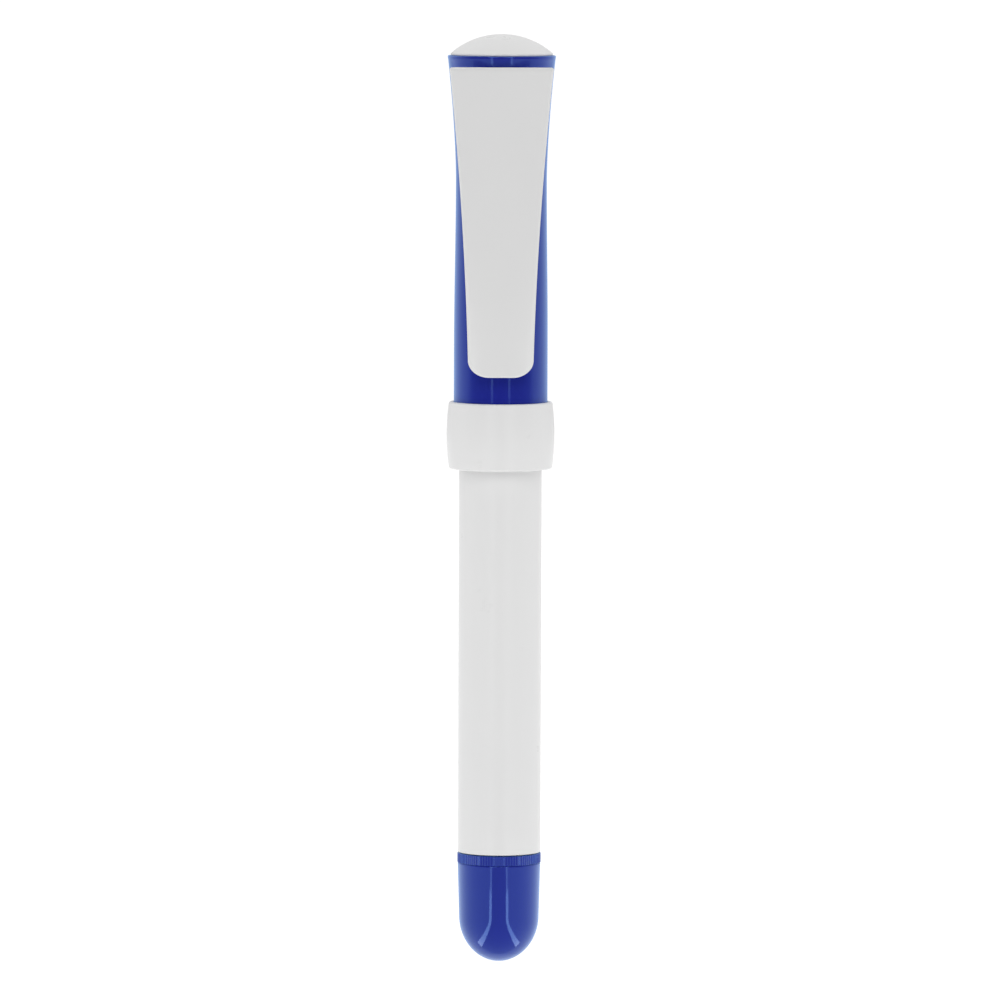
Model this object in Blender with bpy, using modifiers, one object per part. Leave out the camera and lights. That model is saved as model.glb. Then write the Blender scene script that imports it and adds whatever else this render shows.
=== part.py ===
"""Counterfeit detector pen: a capped felt-tip marker with a pocket clip.

Metres, +Z up. The pen's axis is Z, with the cap at the top and the clip facing -Y. The origin is the
centre of the small flat on the end plug's nose. Each piece is its own object, and two empties mark
what moves: the cap slides off along Z, and the clip springs about its root.

The pieces stack up from the nose: end plug, barrel, grip section, and over the section the cap.
The barrel's radius sets the radii of what it holds and of the cap, and the grip's length follows the
cap's. Heights are worked out from the sizes of the pieces below.
"""

import math

import bmesh
import bpy
from mathutils import Matrix, Vector

# Gaps. Faces that rest on each other keep SEAM, and round pieces in bores keep a radial gap.
SEAM = 0.0002
PRESS_GAP = 0.0001
RUNNING_GAP = 0.00015

# Barrel. Its radius sets the size of all that it holds, and of the cap that goes over its nose.
BARREL_LENGTH = 0.0620
BARREL_RADIUS = 0.00625
BARREL_WALL = 0.00105
BARREL_EDGE_ROUND = 0.00012
CENTRING_RIBS = 4
CENTRING_RIB_WIDTH = 0.0006
CENTRING_RIB_END_ROOM = 0.0010

# End plug: a hollow bullet with a ribbed band, and a spigot that is pressed into the barrel.
PLUG_LENGTH = 0.01508
PLUG_TAPER = 0.00042
PLUG_NOSE_HEIGHT = 0.00665
PLUG_FLAT_RADIUS = 0.0009
PLUG_SHOULDER_ROUND = 0.0002
PLUG_NOSE_WALL = 0.0024
SPIGOT_LENGTH = 0.0080
SPIGOT_CHAMFER = 0.0004
BAND_HEIGHT = 0.0014
BAND_PROUD = 0.00005
BAND_SINK = 0.0001
RIB_DEPTH = 0.00008
RIB_COUNT = 96

# Grip section, with the fibre nib in its nose. Its grip is as long as the cap leaves room for.
TAIL_LENGTH = 0.0120
TAIL_WALL = 0.00081
FLANGE_HEIGHT = 0.0010
NECK_LENGTH = 0.0044
NECK_STEP = 0.00065
SNAP_BEAD = 0.0001
SNAP_BEAD_HEIGHT = 0.0008
GRIP_BACK_STEP = 0.00015
GRIP_FRONT_STEP = 0.00025
SEAL_LENGTH = 0.0044
CONE_LENGTH = 0.0076
NOSE_WALL = 0.0009
STOP_LEDGE = 0.00129
AIR_SPACE_LENGTH = 0.0159
NIB_RADIUS = 0.0012
NIB_REACH = 0.0055
NIB_POINT_RADIUS = 0.0005
NIB_POINT_LENGTH = 0.0022
NIB_TAIL_DEPTH = 0.0090

# Ink store: a fibre rod wrapped in film, with a breather tube in a groove along its side.
CORE_TOP_ROOM = 0.0006
CORE_LEDGE = 0.0007
FILM_THICKNESS = 0.00014
FILM_SHORT = 0.0005
BREATHER_RADIUS = 0.0004
BREATHER_BORE = 0.0002
BREATHER_INSET = 0.00045

# Cap: shell, mouth ring, inner cap and dome.
CAP_LENGTH = 0.05680
CAP_MOUTH_WALL = 0.00121
CAP_WAIST = 0.00022
CAP_FLARE = 0.00130
CAP_STRAIGHT_LENGTH = 0.0135
CAP_WAIST_HEIGHT = 0.0380
CAP_FLARE_POWER = 1.65
CAP_RIM_ROUND = 0.0002
CAP_HEAD_WALL = 0.00105
DECK_THICKNESS = 0.0014
DECK_DROP = 0.0001
RING_LAP = 0.0040
RING_HEIGHT = 0.0101
RING_WALL = 0.00067
RING_BULGE = 0.00029
RING_ROUND = 0.00035
INNER_CAP_WALL = 0.00085
INNER_CAP_ROOM = 0.0050
INNER_CAP_HEAD_ROOM = 0.0037
INNER_CAP_BEADS = 3
INNER_CAP_BEAD = 0.0002
INNER_CAP_BEAD_HEIGHT = 0.0008
INNER_CAP_LEAD_IN = 0.0003
DOME_CURVE = 0.01165
DOME_LAND = 0.0002
DOME_INSET = 0.00047
DOME_SPIGOT_DEPTH = 0.0010
DOME_SPIGOT_WALL = 0.0011
DOME_SKIN = 0.0010
STEM_RADIUS = 0.0022
STEM_BORE = 0.0012
STEM_BORE_ROOF = 0.0020
STEM_BARB = 0.0003
BARB_LENGTH = 0.0010

# Pocket clip: a tapered plate, a root tab with two snap prongs, and a pad that grips the cloth.
CLIP_LENGTH = 0.0464
CLIP_BELOW_RIM = 0.00158
CLIP_TOP_INSET = 0.00034
CLIP_TIP_HALF_WIDTH = 0.00492
CLIP_EVEN_TAPER = 0.4
TIP_CORNER_WIDTH = 0.0031
TIP_CORNER_HEIGHT = 0.0026
CLIP_TOP_CORNER = 0.0004
CLIP_THICKNESS = 0.0015
CLIP_EDGE_ROUND = 0.0002
CLIP_STAND_OFF = 0.00035
TAB_BELOW_TOP = 0.0017
TAB_THICKNESS = 0.0014
TAB_SIDE_GAP = 0.00015
TAB_HEIGHT_GAP = 0.00045
PRONG_BARB = 0.0008
PRONG_TIP = 0.0014
PRONG_SLIT = 0.0012
PRONG_GAP = 0.0003
PRONG_STEM_ROOM = 0.0012
PAD_HALF_HEIGHT = 0.0012
PAD_LENGTH = 0.0052
PAD_ABOVE_TIP = 0.0042
PAD_GAP = 0.0003

# Facets round the turned pieces.
OUTER_SEGMENTS = 40
INNER_SEGMENTS = 24
SMALL_SEGMENTS = 12
MERGE = 0.000001
SHARP_ANGLE = math.radians(32)

# Radii, from the barrel in to the ink.
BARREL_BORE = BARREL_RADIUS - BARREL_WALL
SPIGOT_RADIUS = BARREL_BORE - PRESS_GAP
TAIL_RADIUS = BARREL_BORE - PRESS_GAP
SECTION_BORE = TAIL_RADIUS - TAIL_WALL
FILM_RADIUS = SECTION_BORE - RUNNING_GAP
FILM_BORE = FILM_RADIUS - FILM_THICKNESS
CORE_RADIUS = FILM_BORE - PRESS_GAP
SPIGOT_BORE = CORE_RADIUS - CORE_LEDGE
AIR_SPACE_RADIUS = SECTION_BORE - STOP_LEDGE
NIB_BORE = NIB_RADIUS + PRESS_GAP
CONE_TIP_RADIUS = NIB_BORE + NOSE_WALL
PLUG_NOSE_RADIUS = BARREL_RADIUS - PLUG_TAPER
BAND_RADIUS = BARREL_RADIUS + BAND_PROUD

# Radii, from the section's neck out to the cap and in to its seal.
NECK_RADIUS = BARREL_RADIUS - NECK_STEP
GRIP_BACK_RADIUS = NECK_RADIUS - GRIP_BACK_STEP
CAP_BORE = NECK_RADIUS + SNAP_BEAD + RUNNING_GAP
CAP_MOUTH_RADIUS = CAP_BORE + CAP_MOUTH_WALL
CAP_WAIST_RADIUS = CAP_MOUTH_RADIUS - CAP_WAIST
CAP_RIM_RADIUS = CAP_WAIST_RADIUS + CAP_FLARE
RING_BARREL_BORE = BARREL_RADIUS + RUNNING_GAP
RING_CAP_BORE = CAP_MOUTH_RADIUS + PRESS_GAP
RING_END_RADIUS = RING_CAP_BORE + RING_WALL
RING_RADIUS = RING_END_RADIUS + RING_BULGE
INNER_CAP_BEAD_RADIUS = CAP_BORE - RUNNING_GAP
INNER_CAP_RADIUS = INNER_CAP_BEAD_RADIUS - INNER_CAP_BEAD
INNER_CAP_BORE = INNER_CAP_RADIUS - INNER_CAP_WALL
SEAL_RADIUS = INNER_CAP_BORE - RUNNING_GAP
GRIP_FRONT_RADIUS = SEAL_RADIUS + GRIP_FRONT_STEP
STEM_HOLE = STEM_RADIUS + PRESS_GAP
DOME_EDGE_RADIUS = CAP_RIM_RADIUS - DOME_INSET
CLIP_TOP_HALF_WIDTH = CAP_RIM_RADIUS - CLIP_TOP_INSET

# Heights of the pen and the ring, from the nose up.
BAND_BOTTOM = PLUG_LENGTH - BAND_SINK
BAND_TOP = BAND_BOTTOM + BAND_HEIGHT
BARREL_BOTTOM = BAND_TOP + SEAM
BARREL_TOP = BARREL_BOTTOM + BARREL_LENGTH
FLANGE_BOTTOM = BARREL_TOP + SEAM
FLANGE_TOP = FLANGE_BOTTOM + FLANGE_HEIGHT
NECK_TOP = FLANGE_TOP + NECK_LENGTH
TAIL_BOTTOM = FLANGE_BOTTOM - TAIL_LENGTH
RING_BOTTOM = BARREL_TOP - RING_LAP
RING_TOP = RING_BOTTOM + RING_HEIGHT
SPIGOT_TOP = BAND_TOP + SPIGOT_LENGTH
CORE_BOTTOM = SPIGOT_TOP + SEAM

# Heights of the cap, and what it leaves for the nose inside it, from the dome down.
CAP_BOTTOM = FLANGE_TOP + SEAM
CAP_TOP = CAP_BOTTOM + CAP_LENGTH
DOME_BASE = CAP_TOP + PRESS_GAP
DOME_CENTRE = DOME_BASE + DOME_LAND - math.sqrt(DOME_CURVE ** 2 - DOME_EDGE_RADIUS ** 2)
DOME_TOP = DOME_CENTRE + DOME_CURVE
CLIP_TOP = CAP_TOP - CLIP_BELOW_RIM
CLIP_BOTTOM = CLIP_TOP - CLIP_LENGTH
TAB_TOP = CLIP_TOP - TAB_BELOW_TOP
TAB_BOTTOM = TAB_TOP - TAB_THICKNESS
SLOT_BOTTOM = TAB_BOTTOM - TAB_HEIGHT_GAP
SLOT_TOP = TAB_TOP + TAB_HEIGHT_GAP
DECK_TOP = SLOT_BOTTOM - DECK_DROP
DECK_BOTTOM = DECK_TOP - DECK_THICKNESS
INNER_CAP_TOP = DECK_BOTTOM - INNER_CAP_HEAD_ROOM
INNER_CAP_ROOF = INNER_CAP_TOP - INNER_CAP_WALL
NIB_TOP = INNER_CAP_ROOF - INNER_CAP_ROOM
NOSE_TOP = NIB_TOP - NIB_REACH
SEAL_TOP = NOSE_TOP - CONE_LENGTH
GRIP_TOP = SEAL_TOP - SEAL_LENGTH
INNER_CAP_MOUTH = GRIP_TOP + 2 * SEAM

# The ink rod stands on the spigot and stops short of a ledge in the section, below its air space.
AIR_SPACE_TOP = SEAL_TOP - (AIR_SPACE_RADIUS - NIB_BORE)
BORE_STEP = SEAL_TOP - AIR_SPACE_LENGTH
CORE_TOP = BORE_STEP - CORE_TOP_ROOM
NIB_BOTTOM = CORE_TOP - NIB_TAIL_DEPTH

BLUE = (0.013, 0.018, 0.235)
WHITE = (0.76, 0.76, 0.76)
NATURAL = (0.80, 0.80, 0.74)
FIBRE = (0.50, 0.24, 0.06)
FILM = (0.82, 0.84, 0.86)


# Curves that more than one piece follows

def plug_radius(z):
    """The plug's side, from the tip that its flat cuts off: a taper that closes as an ellipse."""
    radius = PLUG_NOSE_RADIUS + PLUG_TAPER * z / PLUG_LENGTH
    if z < PLUG_NOSE_HEIGHT:
        radius *= math.sqrt(1 - (1 - z / PLUG_NOSE_HEIGHT) ** 2)
    return radius


def cap_radius(z):
    """The cap's side: straight above the mouth, eased in to a waist, then flared out to the rim."""
    up = z - CAP_BOTTOM
    if up < CAP_STRAIGHT_LENGTH:
        return CAP_MOUTH_RADIUS
    if up < CAP_WAIST_HEIGHT:
        share = (CAP_WAIST_HEIGHT - up) / (CAP_WAIST_HEIGHT - CAP_STRAIGHT_LENGTH)
        eased = (1 - math.cos(math.pi * share)) / 2
        return CAP_WAIST_RADIUS + (CAP_MOUTH_RADIUS - CAP_WAIST_RADIUS) * eased
    share = (up - CAP_WAIST_HEIGHT) / (CAP_LENGTH - CAP_WAIST_HEIGHT)
    return CAP_WAIST_RADIUS + (CAP_RIM_RADIUS - CAP_WAIST_RADIUS) * share ** CAP_FLARE_POWER


def well_radius(z):
    """The well in the cap's head, one wall inside its flare."""
    return cap_radius(z) - CAP_HEAD_WALL


def clip_half_width(z):
    """Half the clip's width above its round corners: widening upwards, faster near the top."""
    corner_top = CLIP_BOTTOM + TIP_CORNER_HEIGHT
    share = (z - corner_top) / (CLIP_TOP - corner_top)
    widening = CLIP_EVEN_TAPER * share + (1 - CLIP_EVEN_TAPER) * share ** 2
    return CLIP_TIP_HALF_WIDTH + (CLIP_TOP_HALF_WIDTH - CLIP_TIP_HALF_WIDTH) * widening


def behind_clip(z):
    """The radius of what the clip stands in front of: the cap, or the ring where the clip reaches it."""
    return RING_RADIUS if z < RING_TOP else cap_radius(z)


CLIP_BACK = -(max(behind_clip(CLIP_TOP), behind_clip(CLIP_BOTTOM)) + CLIP_STAND_OFF)
CLIP_MIDDLE = CLIP_BACK - CLIP_THICKNESS / 2
CLIP_PIVOT = (0.0, CAP_HEAD_WALL / 2 - cap_radius(TAB_TOP), (TAB_TOP + TAB_BOTTOM) / 2)


# Materials, objects and shapes

def material(name, colour, roughness):
    """A Principled material."""
    made = bpy.data.materials.new(name)
    made.use_nodes = True
    shader = made.node_tree.nodes["Principled BSDF"]
    shader.inputs["Base Color"].default_value = (*colour, 1.0)
    shader.inputs["Roughness"].default_value = roughness
    shader.inputs["Metallic"].default_value = 0.0
    made.diffuse_color = (*colour, 1.0)
    return made


def add_collection(name):
    made = bpy.data.collections.new(name)
    bpy.context.scene.collection.children.link(made)
    return made


def add_object(name, data, folder):
    made = bpy.data.objects.new(name, data)
    folder.objects.link(made)
    return made


def attach(child, parent):
    """Parents the child and leaves it where it is."""
    bpy.context.view_layer.update()
    child.parent = parent
    child.matrix_parent_inverse = parent.matrix_world.inverted()


def evaluated_mesh(obj):
    """The mesh that an object's modifiers, or its curve, make, with a curve's loose caps welded."""
    bpy.context.view_layer.update()
    graph = bpy.context.evaluated_depsgraph_get()
    mesh = bpy.data.meshes.new_from_object(obj.evaluated_get(graph))
    shape = bmesh.new()
    shape.from_mesh(mesh)
    bmesh.ops.remove_doubles(shape, verts=shape.verts, dist=MERGE)
    shape.to_mesh(mesh)
    shape.free()
    return mesh


def settle(obj, finish):
    """Keeps what the modifiers make as the object's own mesh, smooth but for its hard edges."""
    mesh = evaluated_mesh(obj)
    obj.modifiers.clear()
    obj.data = mesh
    mesh.materials.clear()
    mesh.materials.append(finish)
    mesh.shade_smooth()
    mesh.set_sharp_from_angle(angle=SHARP_ANGLE)
    return obj


def turned(name, profile, folder, segments=OUTER_SEGMENTS):
    """A turned solid from (radius, height) points, down its outer side and back up its inner side.

    A profile with both ends on the axis is left open there, and any other is closed to a ring.
    The object's origin is on the axis, at the solid's lowest height.
    """
    base = min(z for _, z in profile)
    edges = [(i, i + 1) for i in range(len(profile) - 1)]
    if profile[0][0] > 0.0:
        edges.append((len(profile) - 1, 0))
    mesh = bpy.data.meshes.new(name)
    mesh.from_pydata([(radius, 0.0, z - base) for radius, z in profile], edges, [])
    made = add_object(name, mesh, folder)
    made.location.z = base
    screw = made.modifiers.new("Turn", "SCREW")
    screw.axis = "Z"
    screw.angle = math.tau
    screw.steps = screw.render_steps = segments
    screw.use_merge_vertices = True
    screw.merge_threshold = MERGE
    return made


def plate(name, outlines, thickness, folder):
    """A flat plate in its own XY plane, centred on that plane, with a hole for any inner outline."""
    curve = bpy.data.curves.new(name, "CURVE")
    curve.dimensions = "2D"
    curve.fill_mode = "BOTH"
    curve.extrude = thickness / 2
    for outline in outlines:
        spline = curve.splines.new("POLY")
        spline.points.add(len(outline) - 1)
        for point, (x, y) in zip(spline.points, outline):
            point.co = (x, y, 0.0, 1.0)
        spline.use_cyclic_u = True
    flat = add_object(name, curve, folder)
    mesh = evaluated_mesh(flat)
    bpy.data.objects.remove(flat)
    return add_object(name, mesh, folder)


def box(name, low, high, folder):
    """A box between two corners, with its origin at its centre."""
    low, high = Vector(low), Vector(high)
    mesh = bpy.data.meshes.new(name)
    shape = bmesh.new()
    bmesh.ops.create_cube(shape, size=1.0, matrix=Matrix.Diagonal((*(high - low), 1.0)))
    shape.to_mesh(mesh)
    shape.free()
    made = add_object(name, mesh, folder)
    made.location = (low + high) / 2
    return made


def rod(name, radius, length, folder, segments=SMALL_SEGMENTS):
    """A cylinder along its own Z, centred on its origin."""
    mesh = bpy.data.meshes.new(name)
    shape = bmesh.new()
    bmesh.ops.create_cone(
        shape, cap_ends=True, segments=segments, radius1=radius, radius2=radius, depth=length
    )
    shape.to_mesh(mesh)
    shape.free()
    return add_object(name, mesh, folder)


def combine(target, other, operation):
    """Joins a helper shape to the target, or cuts the target with it."""
    other.hide_render = True
    other.display_type = "WIRE"
    modifier = target.modifiers.new(f"{operation.title()} {other.name}", "BOOLEAN")
    modifier.operation = operation
    modifier.object = other
    modifier.solver = "EXACT"


def arc(centre, radius, start, end, steps):
    """Points on an arc about a (radius, height) centre, between two angles in degrees."""
    points = []
    for i in range(steps + 1):
        angle = math.radians(start + (end - start) * i / steps)
        points.append((centre[0] + radius * math.cos(angle), centre[1] + radius * math.sin(angle)))
    return points


def spread(first, last, steps):
    """Evenly spaced values, both ends included."""
    return [first + (last - first) * i / steps for i in range(steps + 1)]


# Pen body

def make_end_plug(parts, helpers, finish):
    """The bullet, with the ribbed band at its shoulder and the hollow spigot above."""
    cut_off = PLUG_NOSE_HEIGHT * (1 - math.sqrt(1 - (PLUG_FLAT_RADIUS / PLUG_NOSE_RADIUS) ** 2))
    nose = [PLUG_NOSE_HEIGHT * (1 - math.cos(turn)) for turn in spread(math.pi / 2, 0.0, 9)]
    nose = [z for z in nose if z > 2 * cut_off] + [cut_off]
    shoulder_z = PLUG_LENGTH - PLUG_SHOULDER_ROUND
    shoulder = (BARREL_RADIUS - PLUG_SHOULDER_ROUND, shoulder_z)
    profile = [
        (0.0, PLUG_NOSE_WALL),
        (SPIGOT_BORE, PLUG_NOSE_WALL + SPIGOT_BORE / 2),
        (SPIGOT_BORE, SPIGOT_TOP),
        (SPIGOT_RADIUS - SPIGOT_CHAMFER, SPIGOT_TOP),
        (SPIGOT_RADIUS, SPIGOT_TOP - SPIGOT_CHAMFER),
        (SPIGOT_RADIUS, PLUG_LENGTH),
        *arc(shoulder, PLUG_SHOULDER_ROUND, 90, 0, 3),
        *[(plug_radius(z), z - cut_off) for z in nose],
        (0.0, 0.0),
    ]
    plug = turned("end_plug", profile, parts)
    combine(plug, make_ribbed_band(helpers), "UNION")
    return settle(plug, finish)


def make_ribbed_band(helpers):
    """A ring with a saw-toothed edge, whose bore ends inside the spigot's wall."""
    teeth = []
    for i in range(2 * RIB_COUNT):
        radius = BAND_RADIUS - RIB_DEPTH * (i % 2)
        angle = math.pi * i / RIB_COUNT
        teeth.append((radius * math.cos(angle), radius * math.sin(angle)))
    bore_radius = (SPIGOT_BORE + SPIGOT_RADIUS) / 2
    bore = arc((0.0, 0.0), bore_radius, 0, 360, INNER_SEGMENTS)[1:]
    band = plate("ribbed_band", [teeth, bore], BAND_HEIGHT, helpers)
    band.location.z = (BAND_BOTTOM + BAND_TOP) / 2
    return band


def make_barrel(parts, helpers, finish):
    """A plain tube with ribs along its bore that keep the ink store central."""
    edge = BARREL_EDGE_ROUND
    profile = [
        (BARREL_RADIUS - edge, BARREL_TOP),
        (BARREL_RADIUS, BARREL_TOP - edge),
        (BARREL_RADIUS, BARREL_BOTTOM + edge),
        (BARREL_RADIUS - edge, BARREL_BOTTOM),
        (BARREL_BORE, BARREL_BOTTOM),
        (BARREL_BORE, BARREL_TOP),
    ]
    barrel = turned("barrel", profile, parts)
    low = SPIGOT_TOP + CENTRING_RIB_END_ROOM
    high = TAIL_BOTTOM - CENTRING_RIB_END_ROOM
    for i in range(CENTRING_RIBS):
        rib = box(
            f"centring_rib_{i + 1}",
            (SECTION_BORE, -CENTRING_RIB_WIDTH / 2, low),
            (BARREL_RADIUS - BARREL_WALL / 2, CENTRING_RIB_WIDTH / 2, high),
            helpers,
        )
        turn = Matrix.Rotation(math.tau * i / CENTRING_RIBS, 4, "Z")
        rib.matrix_world = turn @ Matrix.Translation(rib.location)
        combine(barrel, rib, "UNION")
    return settle(barrel, finish)


def make_grip_section(parts, finish):
    """The nose: a tail in the barrel, a flange, a snap neck, a grip, a seal land and a cone."""
    bead = (FLANGE_TOP + NECK_TOP) / 2
    profile = [
        (CONE_TIP_RADIUS, NOSE_TOP),
        (SEAL_RADIUS, SEAL_TOP),
        (SEAL_RADIUS, GRIP_TOP),
        (GRIP_FRONT_RADIUS, GRIP_TOP),
        (GRIP_BACK_RADIUS, NECK_TOP),
        (NECK_RADIUS, NECK_TOP),
        (NECK_RADIUS, bead + SNAP_BEAD_HEIGHT / 2),
        (NECK_RADIUS + SNAP_BEAD, bead),
        (NECK_RADIUS, bead - SNAP_BEAD_HEIGHT / 2),
        (NECK_RADIUS, FLANGE_TOP),
        (BARREL_RADIUS, FLANGE_TOP),
        (BARREL_RADIUS, FLANGE_BOTTOM),
        (TAIL_RADIUS, FLANGE_BOTTOM),
        (TAIL_RADIUS, TAIL_BOTTOM),
        (SECTION_BORE, TAIL_BOTTOM),
        (SECTION_BORE, BORE_STEP),
        (AIR_SPACE_RADIUS, BORE_STEP),
        (AIR_SPACE_RADIUS, AIR_SPACE_TOP),
        (NIB_BORE, SEAL_TOP),
        (NIB_BORE, NOSE_TOP),
    ]
    return settle(turned("grip_section", profile, parts), finish)


def make_fibre_nib(parts, finish):
    """A long fibre rod with a bullet point, which reaches down into the ink store."""
    cone_base = NIB_TOP - NIB_POINT_LENGTH
    profile = [
        (0.0, NIB_TOP),
        *arc((0.0, NIB_TOP - NIB_POINT_RADIUS), NIB_POINT_RADIUS, 65, 25, 2),
        (NIB_RADIUS, cone_base),
        (NIB_RADIUS, NIB_BOTTOM + NIB_RADIUS),
        (NIB_RADIUS / 2, NIB_BOTTOM),
        (0.0, NIB_BOTTOM),
    ]
    return settle(turned("fibre_nib", profile, parts, INNER_SEGMENTS), finish)


def make_ink_reservoir(parts, helpers, finish):
    """The fibre rod, with a blind hole for the nib's tail and a groove for the breather tube."""
    hole_bottom = NIB_BOTTOM - PRESS_GAP
    profile = [
        (0.0, hole_bottom),
        (NIB_BORE, hole_bottom),
        (NIB_BORE, CORE_TOP),
        (CORE_RADIUS, CORE_TOP),
        (CORE_RADIUS, CORE_BOTTOM),
        (0.0, CORE_BOTTOM),
    ]
    core = turned("ink_reservoir", profile, parts, INNER_SEGMENTS)
    groove = rod(
        "breather_groove", BREATHER_RADIUS + PRESS_GAP, 2 * (CORE_TOP - CORE_BOTTOM), helpers
    )
    groove.location = (0.0, CORE_RADIUS - BREATHER_INSET, (CORE_TOP + CORE_BOTTOM) / 2)
    combine(core, groove, "DIFFERENCE")
    return settle(core, finish)


def make_reservoir_wrap(parts, finish):
    """The film sleeve round the fibre rod, open at both ends."""
    low = CORE_BOTTOM + FILM_SHORT
    high = CORE_TOP - FILM_SHORT
    profile = [(FILM_RADIUS, high), (FILM_RADIUS, low), (FILM_BORE, low), (FILM_BORE, high)]
    return settle(turned("reservoir_wrap", profile, parts, INNER_SEGMENTS), finish)


def make_breather_tube(parts, finish):
    """A fine tube in the groove of the fibre rod."""
    profile = [
        (BREATHER_RADIUS, CORE_TOP),
        (BREATHER_RADIUS, CORE_BOTTOM),
        (BREATHER_BORE, CORE_BOTTOM),
        (BREATHER_BORE, CORE_TOP),
    ]
    tube = turned("breather_tube", profile, parts, SMALL_SEGMENTS)
    tube.location.y = CORE_RADIUS - BREATHER_INSET
    return settle(tube, finish)


# Cap

def make_mouth_ring(parts, finish):
    """The crowned ring: it sits round the cap's mouth on a ledge, and laps over the barrel."""
    low = RING_BOTTOM + RING_ROUND
    high = RING_TOP - RING_ROUND
    inset = RING_END_RADIUS - RING_ROUND
    crown = []
    for share in spread(1.0, -1.0, 8)[1:-1]:
        z = (low + high) / 2 + (high - low) / 2 * share
        crown.append((RING_END_RADIUS + RING_BULGE * (1 - share ** 2), z))
    profile = [
        *arc((inset, high), RING_ROUND, 90, 0, 3),
        *crown,
        *arc((inset, low), RING_ROUND, 0, -90, 3),
        (RING_BARREL_BORE, RING_BOTTOM),
        (RING_BARREL_BORE, FLANGE_TOP),
        (RING_CAP_BORE, FLANGE_TOP),
        (RING_CAP_BORE, RING_TOP),
    ]
    return settle(turned("mouth_ring", profile, parts), finish)


def make_cap_shell(parts, helpers, finish):
    """The waisted shell, with a deck across its head, a well above it and a slot for the clip."""
    well_top = CAP_TOP - CAP_RIM_ROUND
    waist = CAP_BOTTOM + CAP_WAIST_HEIGHT
    straight = CAP_BOTTOM + CAP_STRAIGHT_LENGTH
    profile = [
        *arc((CAP_RIM_RADIUS - CAP_RIM_ROUND, well_top), CAP_RIM_ROUND, 90, 0, 2),
        *[(cap_radius(z), z) for z in spread(well_top, waist, 11)[1:]],
        *[(cap_radius(z), z) for z in spread(waist, straight, 6)[1:]],
        (CAP_MOUTH_RADIUS, CAP_BOTTOM),
        (CAP_BORE, CAP_BOTTOM),
        (CAP_BORE, DECK_BOTTOM),
        (STEM_HOLE, DECK_BOTTOM),
        (STEM_HOLE, DECK_TOP),
        *[(well_radius(z), z) for z in spread(DECK_TOP, CAP_TOP, 3)],
    ]
    shell = turned("cap_shell", profile, parts)
    half_width = tab_half_width() + TAB_SIDE_GAP
    slot = box(
        "clip_slot",
        (-half_width, 2 * CLIP_BACK, SLOT_BOTTOM),
        (half_width, -STEM_HOLE, SLOT_TOP),
        helpers,
    )
    combine(shell, slot, "DIFFERENCE")
    return settle(shell, finish)


def make_inner_cap(parts, finish):
    """The sealing liner: a cup over the nib, held in the shell by beads round its outside."""
    length = INNER_CAP_TOP - INNER_CAP_MOUTH
    beads = []
    for i in range(INNER_CAP_BEADS):
        middle = INNER_CAP_TOP - length * (2 * i + 1) / (2 * INNER_CAP_BEADS)
        beads += [
            (INNER_CAP_RADIUS, middle + INNER_CAP_BEAD_HEIGHT / 2),
            (INNER_CAP_BEAD_RADIUS, middle),
            (INNER_CAP_RADIUS, middle - INNER_CAP_BEAD_HEIGHT / 2),
        ]
    profile = [
        (0.0, INNER_CAP_TOP),
        (INNER_CAP_RADIUS, INNER_CAP_TOP),
        *beads,
        (INNER_CAP_RADIUS, INNER_CAP_MOUTH),
        (INNER_CAP_BORE + INNER_CAP_LEAD_IN, INNER_CAP_MOUTH),
        (INNER_CAP_BORE, INNER_CAP_MOUTH + INNER_CAP_LEAD_IN),
        (INNER_CAP_BORE, INNER_CAP_ROOF),
        (0.0, INNER_CAP_ROOF),
    ]
    return settle(turned("inner_cap", profile, parts, INNER_SEGMENTS), finish)


def make_cap_dome(parts, finish):
    """The button: a domed lid with a short spigot in the well, and a stem that snaps in the deck."""
    edge_turn = math.degrees(math.acos(DOME_EDGE_RADIUS / DOME_CURVE))
    spigot_bottom = DOME_BASE - DOME_SPIGOT_DEPTH
    spigot = well_radius(spigot_bottom) - RUNNING_GAP
    spigot_bore = spigot - DOME_SPIGOT_WALL
    skin_curve = DOME_CURVE - DOME_SKIN
    ceiling = [
        (radius, DOME_CENTRE + math.sqrt(skin_curve ** 2 - radius ** 2))
        for radius in spread(spigot_bore, STEM_RADIUS, 3)
    ]
    barb_top = DECK_BOTTOM - PRESS_GAP
    stem_bottom = barb_top - BARB_LENGTH
    bore_roof = DOME_TOP - STEM_BORE_ROOF
    profile = [
        (0.0, DOME_TOP),
        *arc((0.0, DOME_CENTRE), DOME_CURVE, 90, edge_turn, 7)[1:],
        (DOME_EDGE_RADIUS, DOME_BASE),
        (spigot, DOME_BASE),
        (spigot, spigot_bottom),
        (spigot_bore, spigot_bottom),
        *ceiling,
        (STEM_RADIUS, barb_top),
        (STEM_RADIUS + STEM_BARB, barb_top),
        (STEM_RADIUS - STEM_BARB, stem_bottom),
        (STEM_BORE, stem_bottom),
        (STEM_BORE, bore_roof),
        (0.0, bore_roof),
    ]
    return settle(turned("cap_dome", profile, parts), finish)


# Pocket clip

def tab_half_width():
    """Half the tab's width: its barbs end just behind the well's wall, and its prongs clear the stem."""
    wall = well_radius(TAB_BOTTOM) * math.cos(math.pi / OUTER_SEGMENTS)
    barb_depth = STEM_RADIUS + PRONG_STEM_ROOM + PRONG_TIP + PRONG_GAP
    return math.sqrt(wall ** 2 - barb_depth ** 2) - PRONG_BARB


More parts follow.
